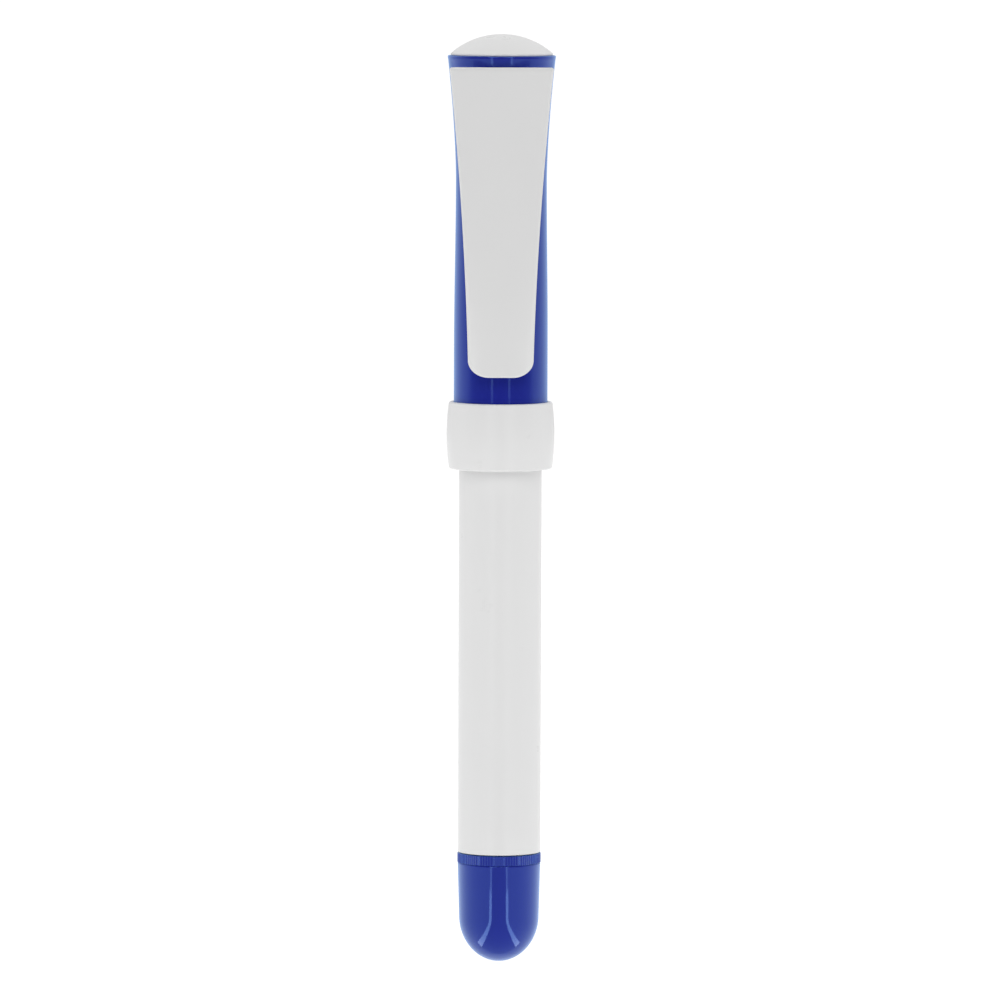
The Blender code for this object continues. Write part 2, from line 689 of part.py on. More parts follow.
def clip_outline():
    """The plate's outline as (across, height): round lower corners, curved sides, sharp top."""
    corner = []
    for turn in spread(-math.pi / 2, 0.0, 6):
        across = CLIP_TIP_HALF_WIDTH - TIP_CORNER_WIDTH * (1 - math.cos(turn))
        corner.append((across, CLIP_BOTTOM + TIP_CORNER_HEIGHT * (1 + math.sin(turn))))
    top_z = CLIP_TOP - CLIP_TOP_CORNER
    side = [
        (clip_half_width(z), z)
        for z in spread(CLIP_BOTTOM + TIP_CORNER_HEIGHT, top_z, 9)[1:-1]
    ]
    top = arc((CLIP_TOP_HALF_WIDTH - CLIP_TOP_CORNER, top_z), CLIP_TOP_CORNER, 0, 90, 2)
    right = corner + side + top
    return right + [(-across, z) for across, z in reversed(right)]


def prong_outline():
    """The root tab from above: two barbed prongs with a slit between, hooked behind the wall."""
    half = tab_half_width()
    barb_y = -(STEM_RADIUS + PRONG_STEM_ROOM + PRONG_TIP)
    slit_y = CLIP_BACK + CLIP_THICKNESS / 2
    right = [
        (half, CLIP_MIDDLE),
        (half, barb_y),
        (half + PRONG_BARB, barb_y),
        (half - PRONG_BARB / 2, barb_y + PRONG_TIP),
        (PRONG_SLIT / 2, barb_y + PRONG_TIP),
        (PRONG_SLIT / 2, slit_y),
    ]
    return right + [(-x, y) for x, y in reversed(right)]


def pad_outline():
    """The pad from the side, as (depth, height): half an ellipse from the plate's middle to the cap."""
    pad_z = CLIP_BOTTOM + PAD_ABOVE_TIP
    reach = -behind_clip(pad_z - PAD_HALF_HEIGHT) - PAD_GAP - CLIP_MIDDLE
    outline = []
    for turn in spread(-math.pi / 2, math.pi / 2, 8):
        outline.append((CLIP_MIDDLE + reach * math.cos(turn), pad_z + PAD_HALF_HEIGHT * math.sin(turn)))
    return outline


def make_pocket_clip(parts, helpers, finish):
    """One moulding: the plate with eased edges, the pronged tab through the slot, and the pad."""
    clip = plate("pocket_clip", [clip_outline()], CLIP_THICKNESS, parts)
    clip.rotation_euler.x = math.pi / 2
    clip.location.y = CLIP_MIDDLE
    ease_edges = clip.modifiers.new("Ease the edges", "BEVEL")
    ease_edges.width = CLIP_EDGE_ROUND
    ease_edges.segments = 2
    ease_edges.limit_method = "ANGLE"
    ease_edges.angle_limit = math.radians(60)
    tab = plate("clip_tab", [prong_outline()], TAB_THICKNESS, helpers)
    tab.location.z = (TAB_TOP + TAB_BOTTOM) / 2
    combine(clip, tab, "UNION")
    pad = plate("clip_pad", [pad_outline()], PAD_LENGTH, helpers)
    pad.rotation_euler = (math.pi / 2, 0.0, math.pi / 2)
    combine(clip, pad, "UNION")
    return settle(clip, finish)


def main():
    for old in list(bpy.data.objects):
        bpy.data.objects.remove(old)
    parts = add_collection("counterfeit_detector_pen")
    helpers = add_collection("cutters")
    blue = material("blue_plastic", BLUE, 0.25)
    white = material("white_plastic", WHITE, 0.35)
    natural = material("natural_plastic", NATURAL, 0.45)
    ink_fibre = material("inked_fibre", FIBRE, 0.9)
    film = material("clear_film", FILM, 0.15)

    make_end_plug(parts, helpers, blue)
    make_barrel(parts, helpers, white)
    make_grip_section(parts, white)
    make_fibre_nib(parts, ink_fibre)
    make_ink_reservoir(parts, helpers, ink_fibre)
    make_reservoir_wrap(parts, film)
    make_breather_tube(parts, natural)

    cap_slide = add_object("cap_slide", None, parts)
    cap_slide.location.z = CAP_BOTTOM
    clip_root = add_object("clip_root", None, parts)
    clip_root.location = CLIP_PIVOT
    attach(clip_root, cap_slide)
    attach(make_mouth_ring(parts, white), cap_slide)
    attach(make_cap_shell(parts, helpers, blue), cap_slide)
    attach(make_inner_cap(parts, natural), cap_slide)
    attach(make_cap_dome(parts, white), cap_slide)
    attach(make_pocket_clip(parts, helpers, white), clip_root)


main()
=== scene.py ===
"""Counterfeit detector pen, standing nose down: its looks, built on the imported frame.

Metres, +Z up, the pen's axis on Z and the clip facing -Y. Heights and radii come from the frame's own
boxes, and the small sizes below are those of mouldings that a box can't give.
"""

import math

import bmesh
import bpy
from mathutils import Matrix, Vector


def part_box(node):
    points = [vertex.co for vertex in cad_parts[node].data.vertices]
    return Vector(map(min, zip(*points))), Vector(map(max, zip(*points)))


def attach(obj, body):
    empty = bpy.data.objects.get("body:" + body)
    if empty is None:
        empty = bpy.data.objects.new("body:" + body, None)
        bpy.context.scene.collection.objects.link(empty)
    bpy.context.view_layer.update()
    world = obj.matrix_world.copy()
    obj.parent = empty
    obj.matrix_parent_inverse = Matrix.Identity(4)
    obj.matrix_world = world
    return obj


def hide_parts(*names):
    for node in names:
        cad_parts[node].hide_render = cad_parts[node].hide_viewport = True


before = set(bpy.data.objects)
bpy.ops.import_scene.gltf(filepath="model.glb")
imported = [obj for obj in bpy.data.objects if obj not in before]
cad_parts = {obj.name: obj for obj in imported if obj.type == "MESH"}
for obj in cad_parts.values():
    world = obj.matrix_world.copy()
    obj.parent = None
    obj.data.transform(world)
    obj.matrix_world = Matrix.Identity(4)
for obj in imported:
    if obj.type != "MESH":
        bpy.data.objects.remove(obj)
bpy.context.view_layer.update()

MM = 0.001

# SEAM is the gap between ends that face each other, PRESS_GAP the one round a pressed part, and
# SLIDE_GAP the one round a sliding or loose part.
SEAM = 0.2 * MM
PRESS_GAP = 0.1 * MM
SLIDE_GAP = 0.15 * MM
BORE_CHAMFER = 0.15 * MM

# End plug and barrel. PLUG_FLAT_MARGIN keeps the nose's outline clear of its flat: the outline stops
# at that many times the height that the flat cuts off.
BARREL_WALL = 1.05 * MM
BARREL_EDGE_ROUND = 0.12 * MM
PLUG_LENGTH = 15.08 * MM
PLUG_TAPER = 0.42 * MM
PLUG_NOSE_HEIGHT = 6.65 * MM
PLUG_FLAT_RADIUS = 0.9 * MM
PLUG_FLAT_MARGIN = 1.3
PLUG_SHOULDER_ROUND = 0.2 * MM
PLUG_NOSE_WALL = 2.4 * MM
SPIGOT_BORE = 3.2 * MM
SPIGOT_CHAMFER = 0.4 * MM
BAND_BOTTOM = 14.98 * MM
BAND_TOP = 16.42 * MM
BAND_ROUND = 0.06 * MM
RIB_DEPTH = 0.07 * MM
RIB_COUNT = 96

# Grip section and nib. NIB_SLOPE_START says how far out and how far down the nib's slope starts, as
# shares of its point's radius.
FLANGE_HEIGHT = 1.0 * MM
NECK_LENGTH = 4.4 * MM
NECK_STEP = 0.65 * MM
NECK_CHAMFER = 0.03 * MM
SNAP_BEAD = 0.1 * MM
SNAP_HALF = 0.5 * MM
SEAL_LENGTH = 4.4 * MM
SEAL_RADIUS = 4.5 * MM
CONE_LENGTH = 7.6 * MM
GRIP_FRONT_STEP = 0.25 * MM
GRIP_BACK_STEP = 0.15 * MM
NOSE_TIP_RADIUS = 2.2 * MM
NOSE_TIP_ROUND = 0.25 * MM
STEP_ROUND = 0.2 * MM
CREASE = 0.05 * MM
TAIL_WALL = 0.8 * MM
NIB_POINT_RADIUS = 0.5 * MM
NIB_SLOPE_LENGTH = 2.2 * MM
NIB_SLOPE_POWER = 1.15
NIB_SLOPE_START = (0.906, 0.58)

# Mouth ring, cap shell and dome.
RING_WALL = 0.67 * MM
RING_BULGE = 0.29 * MM
RING_ROUND = 0.35 * MM
RING_LIP_ROUND = 0.2 * MM
CAP_WAIST = 0.22 * MM
CAP_STRAIGHT = 13.5 * MM
CAP_WAIST_HEIGHT = 38.0 * MM
CAP_FLARE_POWER = 1.65
CAP_RIM_ROUND = 0.2 * MM
CAP_MOUTH_WALL = 1.21 * MM
CAP_HEAD_WALL = 1.05 * MM
DECK_THICKNESS = 1.4 * MM
DECK_DROP = 0.1 * MM
SLOT_GAP = 0.45 * MM
SLOT_SIDE_GAP = 0.15 * MM
STEM_HOLE = 2.3 * MM
DOME_CURVE = 11.65 * MM
DOME_LAND = 0.2 * MM
DOME_RISE = 0.1 * MM
DOME_SEAT = 0.03 * MM
DOME_EDGE_CHAMFER = 0.05 * MM
DOME_SKIN = 1.0 * MM
DOME_CROWN_WALL = 2.0 * MM
DOME_SPIGOT_DEPTH = 1.0 * MM
DOME_SPIGOT_WALL = 1.1 * MM
STEM_RADIUS = 2.2 * MM
STEM_BORE = 1.2 * MM
STEM_BARB = 0.3 * MM
BARB_GAP = 0.1 * MM

# Pocket clip.
CLIP_THICKNESS = 1.5 * MM
CLIP_TIP_HALF_WIDTH = 4.92 * MM
CLIP_EVEN_TAPER = 0.4
CLIP_CORNER_WIDTH = 3.1 * MM
CLIP_CORNER_HEIGHT = 2.6 * MM
CLIP_TOP_CORNER = 0.4 * MM
CLIP_EDGE_ROUND = 0.28 * MM
CLIP_BACK_ROUND = 0.12 * MM
CLIP_CROWN = 0.52 * MM
CLIP_CROWN_LENGTH = 32 * MM
CLIP_TIP_FALL = 0.28 * MM
CLIP_TIP_LENGTH = 13 * MM
TAB_BELOW_TOP = 1.7 * MM
TAB_THICKNESS = 1.4 * MM
TAB_HALF_WIDTH = 3.3 * MM
TAB_REACH = 5.0 * MM
PAD_ABOVE_TIP = 4.2 * MM
PAD_HALF_HEIGHT = 1.2 * MM
PAD_HALF_LENGTH = 2.6 * MM
PAD_FACE = 7.36 * MM

# How finely round shapes are divided.
ROUND = 160
GRIP_ROUND = 144
NIB_ROUND = 72
RIB_STEPS = 4
CLIP_COLUMNS = 28
SHARP = math.radians(35)
ON_AXIS = 1e-9


# Shapes

def loose(name, shape):
    """A plain object made of a bmesh."""
    bmesh.ops.recalc_face_normals(shape, faces=shape.faces)
    mesh = bpy.data.meshes.new(name)
    shape.to_mesh(mesh)
    shape.free()
    made = bpy.data.objects.new(name, mesh)
    bpy.context.scene.collection.objects.link(made)
    return made


def dress(piece, material, body, node):
    """Gives a piece its material, its smooth faces and its place in the frame."""
    piece.data.materials.clear()
    piece.data.materials.append(material)
    piece.data.shade_smooth()
    piece.data.set_sharp_from_angle(angle=SHARP)
    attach(piece, body)
    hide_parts(node)


def finished(name, shape, material, body, node):
    """Turns a bmesh into a piece that rides on a body and stands for a frame node."""
    dress(loose(name, shape), material, body, node)


def arc(centre, radius, start, end, steps):
    """Points on an arc about a (radius, height) centre, between two angles in degrees."""
    points = []
    for i in range(steps + 1):
        angle = math.radians(start + (end - start) * i / steps)
        points.append((centre[0] + radius * math.cos(angle), centre[1] + radius * math.sin(angle)))
    return points


def spread(first, last, steps):
    """Even values from the first to the last."""
    return [first + (last - first) * i / steps for i in range(steps + 1)]


def lathe(profile, segments=ROUND, ribs=0, depth=0.0):
    """A closed turned solid. A point's third value, if any, says how far the ribs cut in there."""
    shape = bmesh.new()
    rings = []
    for point in profile:
        radius, height = point[0], point[1]
        share = point[2] if len(point) > 2 else 0.0
        if radius < ON_AXIS:
            rings.append([shape.verts.new((0.0, 0.0, height))])
            continue
        ring = []
        for i in range(segments):
            angle = math.tau * i / segments
            reach = radius - depth * share * (1 - math.cos(ribs * angle)) / 2
            ring.append(shape.verts.new((reach * math.cos(angle), reach * math.sin(angle), height)))
        rings.append(ring)
    pairs = list(zip(rings, rings[1:]))
    if len(rings[0]) > 1:
        pairs.append((rings[-1], rings[0]))
    for a, b in pairs:
        for i in range(segments):
            j = (i + 1) % segments
            if len(a) == 1:
                shape.faces.new((a[0], b[i], b[j]))
            elif len(b) == 1:
                shape.faces.new((a[i], b[0], a[j]))
            else:
                shape.faces.new((a[i], b[i], b[j], a[j]))
    return shape


def prism(outline, along, low, high):
    """A closed prism: its outline is drawn out along "x" or "z", from a low level to a high one."""
    shape = bmesh.new()
    ends = []
    for level in (low, high):
        ring = []
        for u, v in outline:
            place = (level, u, v) if along == "x" else (u, v, level)
            ring.append(shape.verts.new(place))
        shape.faces.new(ring)
        ends.append(ring)
    count = len(outline)
    for i in range(count):
        j = (i + 1) % count
        shape.faces.new((ends[0][i], ends[0][j], ends[1][j], ends[1][i]))
    return shape


def combined(target, helper, operation):
    """The target's mesh joined with, or cut by, the helper, which goes."""
    change = target.modifiers.new(operation.title(), "BOOLEAN")
    change.operation = operation
    change.object = helper
    change.solver = "EXACT"
    bpy.context.view_layer.update()
    graph = bpy.context.evaluated_depsgraph_get()
    mesh = bpy.data.meshes.new_from_object(target.evaluated_get(graph))
    target.modifiers.clear()
    target.data = mesh
    bpy.data.objects.remove(helper)


# Materials

PLAIN_TINT = (1.0, 1.0, 1.0)
PLASTIC_IOR = 1.46


class Nodes:
    """A Principled material under construction, in the piece's own coordinates."""

    def __init__(self, name, roughness, ior=PLASTIC_IOR, tint=PLAIN_TINT):
        self.material = bpy.data.materials.new(name)
        self.material.use_nodes = True
        self.tree = self.material.node_tree
        self.shader = self.tree.nodes["Principled BSDF"]
        self.shader.inputs["Roughness"].default_value = roughness
        self.shader.inputs["IOR"].default_value = ior
        self.shader.inputs["Specular Tint"].default_value = (*tint, 1.0)
        self.place = self.add("ShaderNodeTexCoord").outputs["Object"]

    def add(self, kind, **values):
        node = self.tree.nodes.new(kind)
        for key, value in values.items():
            setattr(node, key, value)
        return node

    def link(self, a, b):
        self.tree.links.new(a, b)

    def noise(self, scales, detail=3.0, rough=0.55):
        """Noise of a given fineness along each axis, in cells to the metre."""
        mapping = self.add("ShaderNodeMapping")
        mapping.inputs["Scale"].default_value = scales
        self.link(self.place, mapping.inputs["Vector"])
        node = self.add("ShaderNodeTexNoise")
        node.inputs["Scale"].default_value = 1.0
        node.inputs["Detail"].default_value = detail
        node.inputs["Roughness"].default_value = rough
        self.link(mapping.outputs["Vector"], node.inputs["Vector"])
        return node.outputs["Fac"]

    def ramp(self, value, stops):
        node = self.add("ShaderNodeValToRGB")
        ramp = node.color_ramp
        while len(ramp.elements) < len(stops):
            ramp.elements.new(0.5)
        for element, (place, colour) in zip(ramp.elements, stops):
            element.position = place
            element.color = (*colour, 1.0)
        self.link(value, node.inputs["Fac"])
        return node.outputs["Color"]

    def span(self, value, low, high, start=0.0, end=1.0):
        """A value from start to end, spread over low to high."""
        node = self.add("ShaderNodeMapRange")
        node.inputs["From Min"].default_value = start
        node.inputs["From Max"].default_value = end
        node.inputs["To Min"].default_value = low
        node.inputs["To Max"].default_value = high
        self.link(value, node.inputs["Value"])
        return node.outputs["Result"]

    def joined(self, how, a, b):
        """Two values put together by ADD or MULTIPLY."""
        node = self.add("ShaderNodeMath", operation=how)
        self.link(a, node.inputs[0])
        self.link(b, node.inputs[1])
        return node.outputs["Value"]

    def bump(self, height, distance, after=None):
        """Relief of a given depth, laid over an earlier one if there is one."""
        node = self.add("ShaderNodeBump")
        node.inputs["Distance"].default_value = distance
        node.inputs["Strength"].default_value = 1.0
        self.link(height, node.inputs["Height"])
        if after is not None:
            self.link(after, node.inputs["Normal"])
        return node.outputs["Normal"]

    def set(self, socket, value):
        self.link(value, self.shader.inputs[socket])


FINE_PEEL = 0.0010 * MM
BROAD_PEEL = 0.0035 * MM
STRAND_DEPTH = 0.05 * MM
CREASE_DEPTH = 0.02 * MM


def moulded(name, dark, light, smooth, dull, peel, ior=PLASTIC_IOR, tint=PLAIN_TINT):
    """Moulded plastic: faint flow clouds, orange peel, and hairline rubs that dull it.

    Colours run from dark to light, roughness from smooth to dull, and peel scales the bumps.
    """
    made = Nodes(name, (smooth + dull) / 2, ior, tint)
    clouds = made.noise((90, 90, 90), detail=1.0, rough=0.4)
    flow = made.noise((260, 260, 40), detail=1.0, rough=0.4)
    shade = made.span(made.joined("ADD", clouds, flow), 0.0, 1.0, start=0.7, end=1.3)
    made.set("Base Color", made.ramp(shade, [(0.0, dark), (1.0, light)]))
    rubs = made.noise((9000, 9000, 500), detail=2.0, rough=0.7)
    across = made.noise((900, 900, 14000), detail=2.0, rough=0.7)
    scratches = made.span(made.joined("MULTIPLY", rubs, across), 0.0, 0.015, start=0.1, end=0.6)
    gloss = made.span(made.noise((220, 220, 220), rough=0.6), smooth, dull, start=0.3, end=0.7)
    made.set("Roughness", made.joined("ADD", gloss, scratches))
    fine = made.noise((1500, 1500, 1500), detail=2.0, rough=0.5)
    broad = made.noise((230, 230, 230), detail=2.0, rough=0.5)
    made.set("Normal", made.bump(broad, BROAD_PEEL * peel, made.bump(fine, FINE_PEEL * peel)))
    return made.material


def felt(name, dark, light):
    """Bonded fibre: strands that run along the rod, darker where the ink has soaked in."""
    made = Nodes(name, 0.85, 1.4)
    strands = made.noise((14000, 14000, 900), detail=5.0, rough=0.65)
    soak = made.noise((700, 700, 700), rough=0.6)
    shade = made.joined("MULTIPLY", strands, soak)
    made.set("Base Color", made.ramp(shade, [(0.1, dark), (0.42, light)]))
    made.set("Roughness", made.span(strands, 0.7, 0.95))
    made.set("Normal", made.bump(strands, STRAND_DEPTH))
    return made.material


def film(name):
    """Clear wrapping film with faint creases along it."""
    made = Nodes(name, 0.12, 1.5)
    creases = made.noise((1800, 1800, 120), detail=4.0, rough=0.6)
    made.set("Base Color", made.ramp(creases, [(0.3, (0.78, 0.81, 0.84)), (0.7, (0.88, 0.9, 0.92))]))
    made.set("Roughness", made.span(creases, 0.06, 0.22))
    made.shader.inputs["Transmission Weight"].default_value = 0.85
    made.set("Normal", made.bump(creases, CREASE_DEPTH))
    return made.material


def add_sheen(material, weight, roughness, tint):
    """A soft tinted light towards the edges of a round shape."""
    shader = material.node_tree.nodes["Principled BSDF"]
    shader.inputs["Sheen Weight"].default_value = weight
    shader.inputs["Sheen Roughness"].default_value = roughness
    shader.inputs["Sheen Tint"].default_value = (*tint, 1.0)


BLUE = moulded(
    "blue_moulding", dark=(0.0110, 0.0135, 0.250), light=(0.0130, 0.0155, 0.275),
    smooth=0.05, dull=0.08, peel=0.8, ior=1.6, tint=(0.3, 0.55, 1.0),
)
add_sheen(BLUE, weight=0.9, roughness=0.45, tint=(0.24, 0.51, 1.0))
WHITE = moulded(
    "white_moulding", dark=(0.770, 0.770, 0.770), light=(0.776, 0.776, 0.775),
    smooth=0.27, dull=0.30, peel=0.15, ior=1.4,
)
CLIP_WHITE = moulded(
    "clip_moulding", dark=(0.732, 0.732, 0.732), light=(0.738, 0.738, 0.737),
    smooth=0.14, dull=0.18, peel=0.2,
)
SECTION_WHITE = moulded(
    "section_moulding", dark=(0.70, 0.70, 0.70), light=(0.75, 0.75, 0.745),
    smooth=0.3, dull=0.4, peel=1.3,
)
NATURAL = moulded(
    "natural_moulding", dark=(0.70, 0.70, 0.64), light=(0.78, 0.78, 0.72),
    smooth=0.38, dull=0.5, peel=1.6,
)
NIB = felt("inked_nib_felt", dark=(0.20, 0.075, 0.012), light=(0.55, 0.27, 0.07))
CORE = felt("ink_core_felt", dark=(0.26, 0.10, 0.02), light=(0.62, 0.33, 0.10))
FILM = film("clear_wrap_film")


# Pen body

plug_low, plug_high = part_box("end_plug")
barrel_low, barrel_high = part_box("barrel")
BARREL_RADIUS = barrel_high[0]
BAND_RADIUS = plug_high[0]
SPIGOT_TOP = plug_high[2]
BARREL_BORE = BARREL_RADIUS - BARREL_WALL


def plug_radius(z):
    """The plug's side: a taper that closes as an ellipse."""
    radius = BARREL_RADIUS - PLUG_TAPER + PLUG_TAPER * z / PLUG_LENGTH
    if z < PLUG_NOSE_HEIGHT:
        radius *= math.sqrt(1 - (1 - z / PLUG_NOSE_HEIGHT) ** 2)
    return radius


def make_end_plug():
    """The bullet with its ribbed band, and the hollow spigot that goes up into the barrel."""
    nose_radius = BARREL_RADIUS - PLUG_TAPER
    cut_off = PLUG_NOSE_HEIGHT * (1 - math.sqrt(1 - (PLUG_FLAT_RADIUS / nose_radius) ** 2))
    nose = [PLUG_NOSE_HEIGHT * (1 - math.cos(turn)) for turn in spread(math.pi / 2, 0.0, 36)]
    nose = [z for z in nose if z > PLUG_FLAT_MARGIN * cut_off] + [cut_off]
    shoulder_z = BAND_BOTTOM - PLUG_SHOULDER_ROUND
    shoulder = (BARREL_RADIUS - PLUG_SHOULDER_ROUND, shoulder_z)
    spigot = BARREL_BORE - PRESS_GAP
    side = [(plug_radius(z), z - cut_off) for z in spread(shoulder_z, PLUG_NOSE_HEIGHT, 12)[1:-1]]
    profile = [
        (0.0, PLUG_NOSE_WALL),
        (SPIGOT_BORE, PLUG_NOSE_WALL + SPIGOT_BORE / 2),
        (SPIGOT_BORE, SPIGOT_TOP),
        (spigot - SPIGOT_CHAMFER, SPIGOT_TOP),
        (spigot, SPIGOT_TOP - SPIGOT_CHAMFER),
        (spigot, BAND_TOP),
        (BAND_RADIUS - BAND_ROUND, BAND_TOP, 1.0),
        (BAND_RADIUS, BAND_TOP - BAND_ROUND, 1.0),
        (BAND_RADIUS, BAND_BOTTOM + BAND_ROUND, 1.0),
        (BAND_RADIUS - BAND_ROUND, BAND_BOTTOM, 1.0),
        *arc(shoulder, PLUG_SHOULDER_ROUND, 90, 0, 8),
        *side,
        *[(plug_radius(z), z - cut_off) for z in nose],
        (0.0, 0.0),
    ]
    shape = lathe(profile, RIB_COUNT * RIB_STEPS, RIB_COUNT, RIB_DEPTH)
    finished("plug_bullet", shape, BLUE, "pen", "end_plug")


def make_barrel():
    """A plain tube with eased ends."""
    low, high = barrel_low[2], barrel_high[2]
    edge = BARREL_EDGE_ROUND
    profile = [
        *arc((BARREL_RADIUS - edge, high - edge), edge, 90, 0, 5),
        *[(BARREL_RADIUS, z) for z in spread(high - edge, low + edge, 16)[1:-1]],
        *arc((BARREL_RADIUS - edge, low + edge), edge, 0, -90, 5),
        (BARREL_BORE + BORE_CHAMFER, low),
        (BARREL_BORE, low + BORE_CHAMFER),
        (BARREL_BORE, high - BORE_CHAMFER),
        (BARREL_BORE + BORE_CHAMFER, high),
    ]
    finished("barrel_tube", lathe(profile), WHITE, "pen", "barrel")


make_end_plug()
make_barrel()


# Grip section and nib, seen with the cap off

section_low, section_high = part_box("grip_section")
nib_low, nib_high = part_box("fibre_nib")


def make_grip_section():
    """A turned nose: cone, seal land, tapered grip, neck with its snap bead, flange and tail."""
    flange_low = barrel_high[2] + SEAM
    flange_top = flange_low + FLANGE_HEIGHT
    neck_top = flange_top + NECK_LENGTH
    nose_top = section_high[2]
    seal_top = nose_top - CONE_LENGTH
    grip_top = seal_top - SEAL_LENGTH
    neck = BARREL_RADIUS - NECK_STEP
    bead = (flange_top + neck_top) / 2
    front = SEAL_RADIUS + GRIP_FRONT_STEP
    back = neck - GRIP_BACK_STEP
    edge = BARREL_EDGE_ROUND
    nib_bore = nib_high[0] + PRESS_GAP
    tail = BARREL_BORE - PRESS_GAP
    tip = NOSE_TIP_ROUND
    # The cone and the grip stop short of the roundings beside them.
    widening = SEAL_RADIUS - NOSE_TIP_RADIUS
    cone = [(NOSE_TIP_RADIUS + widening * share, nose_top - CONE_LENGTH * share)
            for share in spread(0.06, 0.97, 10)]
    grip_start = grip_top - STEP_ROUND
    grip = [(front + (back - front) * share, grip_start + (neck_top - grip_start) * share)
            for share in spread(0.05, 1.0, 12)]
    snap = [(neck + SNAP_BEAD * math.cos(turn) ** 2, bead + SNAP_HALF * turn / (math.pi / 2))
            for turn in spread(math.pi / 2, -math.pi / 2, 10)]
    profile = [
        *arc((NOSE_TIP_RADIUS - tip, nose_top - tip), tip, 90, 20, 5),
        *cone,
        (SEAL_RADIUS, seal_top - STEP_ROUND),
        (SEAL_RADIUS, grip_top + CREASE),
        (SEAL_RADIUS + CREASE, grip_top),
        *arc((front - STEP_ROUND, grip_start), STEP_ROUND, 80, 0, 4),
        *grip,
        (neck - NECK_CHAMFER, neck_top),
        (neck, neck_top - CREASE),
        *snap,
        (neck, flange_top),
        *arc((BARREL_RADIUS - edge, flange_top - edge), edge, 90, 0, 4),
        *arc((BARREL_RADIUS - edge, flange_low + edge), edge, 0, -90, 4),
        (tail, flange_low),
        (tail, section_low[2]),
        (tail - TAIL_WALL, section_low[2]),
        (tail - TAIL_WALL, grip_top),
        (nib_bore, seal_top),
        (nib_bore, nose_top),
    ]
    shape = lathe(profile, GRIP_ROUND)
    finished("section_nose", shape, SECTION_WHITE, "pen", "grip_section")


def make_nib():
    """A rod whose end slopes in to a small round point."""
    radius = nib_high[0]
    top = nib_high[2]
    point = NIB_POINT_RADIUS
    start = point * NIB_SLOPE_START[0]
    drop = point * NIB_SLOPE_START[1]
    slope = [(start + (radius - start) * share,
              top - drop - (NIB_SLOPE_LENGTH - drop) * share ** NIB_SLOPE_POWER)
             for share in spread(0.15, 1.0, 8)]
    profile = [
        (0.0, top),
        *arc((0.0, top - point), point, 80, 25, 8),
        *slope,
        (radius, nib_low[2] + radius),
        (radius / 2, nib_low[2]),
        (0.0, nib_low[2]),
    ]
    finished("nib_rod", lathe(profile, NIB_ROUND), NIB, "pen", "fibre_nib")


make_grip_section()
make_nib()


# Cap

ring_low, ring_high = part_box("mouth_ring")
shell_low, shell_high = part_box("cap_shell")
dome_low, dome_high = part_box("cap_dome")
clip_low, clip_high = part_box("pocket_clip")
CAP_BOTTOM = shell_low[2]
CAP_TOP = shell_high[2]
CAP_LENGTH = CAP_TOP - CAP_BOTTOM
CAP_RIM_RADIUS = shell_high[0]
RING_RADIUS = ring_high[0]
RING_END_RADIUS = RING_RADIUS - RING_BULGE
CAP_MOUTH_RADIUS = RING_END_RADIUS - RING_WALL - PRESS_GAP
CAP_WAIST_RADIUS = CAP_MOUTH_RADIUS - CAP_WAIST
CAP_BORE = CAP_MOUTH_RADIUS - CAP_MOUTH_WALL
CLIP_FRONT = clip_low[1]
CLIP_BACK = CLIP_FRONT + CLIP_THICKNESS
TAB_TOP = clip_high[2] - TAB_BELOW_TOP
TAB_BOTTOM = TAB_TOP - TAB_THICKNESS
SLOT_TOP = TAB_TOP + SLOT_GAP
SLOT_BOTTOM = TAB_BOTTOM - SLOT_GAP
DECK_TOP = SLOT_BOTTOM - DECK_DROP
DECK_BOTTOM = DECK_TOP - DECK_THICKNESS
PAD_HEIGHT = clip_low[2] + PAD_ABOVE_TIP


def cap_radius(z):
    """The cap's side: straight above the mouth, eased in to a waist, then flared out to the rim."""
    up = z - CAP_BOTTOM
    if up < CAP_STRAIGHT:
        return CAP_MOUTH_RADIUS
    if up < CAP_WAIST_HEIGHT:
        share = (CAP_WAIST_HEIGHT - up) / (CAP_WAIST_HEIGHT - CAP_STRAIGHT)
        return CAP_WAIST_RADIUS + CAP_WAIST * (1 - math.cos(math.pi * share)) / 2
    share = (up - CAP_WAIST_HEIGHT) / (CAP_LENGTH - CAP_WAIST_HEIGHT)
    return CAP_WAIST_RADIUS + (CAP_RIM_RADIUS - CAP_WAIST_RADIUS) * share ** CAP_FLARE_POWER


def make_mouth_ring():
    """A crowned ring, whose bore steps out above the barrel to take the cap's foot."""
    low, high = ring_low[2] + RING_ROUND, ring_high[2] - RING_ROUND
    inset = RING_END_RADIUS - RING_ROUND
    crown = []
    for share in spread(1.0, -1.0, 28)[1:-1]:
        crown.append((RING_END_RADIUS + RING_BULGE * (1 - share ** 2),
                      (low + high) / 2 + (high - low) / 2 * share))
    ledge = barrel_high[2] + SEAM + FLANGE_HEIGHT
    bore = BARREL_RADIUS + SLIDE_GAP
    cap_bore = CAP_MOUTH_RADIUS + PRESS_GAP
    profile = [
        *arc((inset, high), RING_ROUND, 90, 0, 7),
        *crown,
        *arc((inset, low), RING_ROUND, 0, -90, 7),
        *arc((bore + RING_LIP_ROUND, ring_low[2] + RING_LIP_ROUND), RING_LIP_ROUND, -90, -180, 4),
        (bore, ledge),
        (cap_bore, ledge),
        (cap_bore, ring_high[2]),
    ]
    finished("ring_collar", lathe(profile), WHITE, "cap", "mouth_ring")


